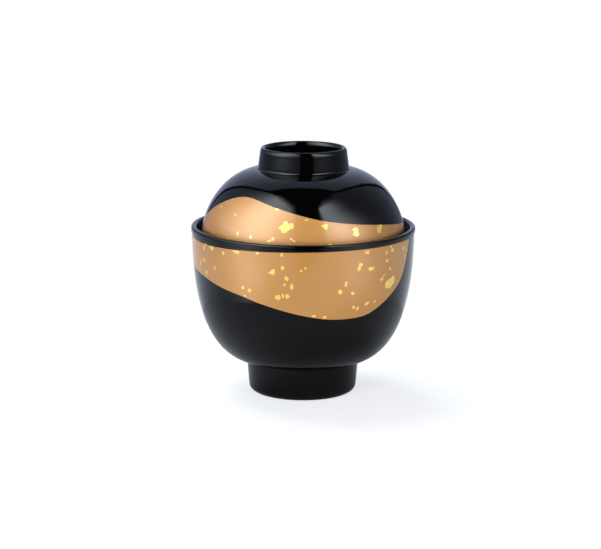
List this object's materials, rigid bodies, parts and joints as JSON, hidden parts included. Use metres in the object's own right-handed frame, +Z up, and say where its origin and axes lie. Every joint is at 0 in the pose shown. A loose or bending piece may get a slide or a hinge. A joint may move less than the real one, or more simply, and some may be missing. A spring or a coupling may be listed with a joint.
{
  "type": "soup bowl with lid",
  "caption": "Deep round soup bowl on a hollow foot ring, with a domed drop-in lid that has a hollow grip ring, black with gold wave bands.",
  "frame": {"origin": "centre of the foot ring's flat underside, on the turning axis", "axes": "+Z up along the turning axis, towards the lid's grip; -Y is the front, where the bowl's gold wave is deepest"},
  "size_m": [0.095, 0.095, 0.105],
  "materials": {
    "black_lacquer": "high gloss black lacquer on a moulded body",
    "gold_lacquer": "satin gold lacquer with gold leaf flakes under a clear coat"
  },
  "bodies": {
    "bowl": {"bowl": "black_lacquer", "bowl_gold_band": "gold_lacquer"},
    "lid": {"lid": "black_lacquer", "lid_gold_band": "gold_lacquer"}
  },
  "joints": [
    {"name": "lid_lift", "type": "slide", "parent": "bowl", "child": "lid", "axis": [0, 0, 1], "range_m": [0, 0.07]}
  ]
}
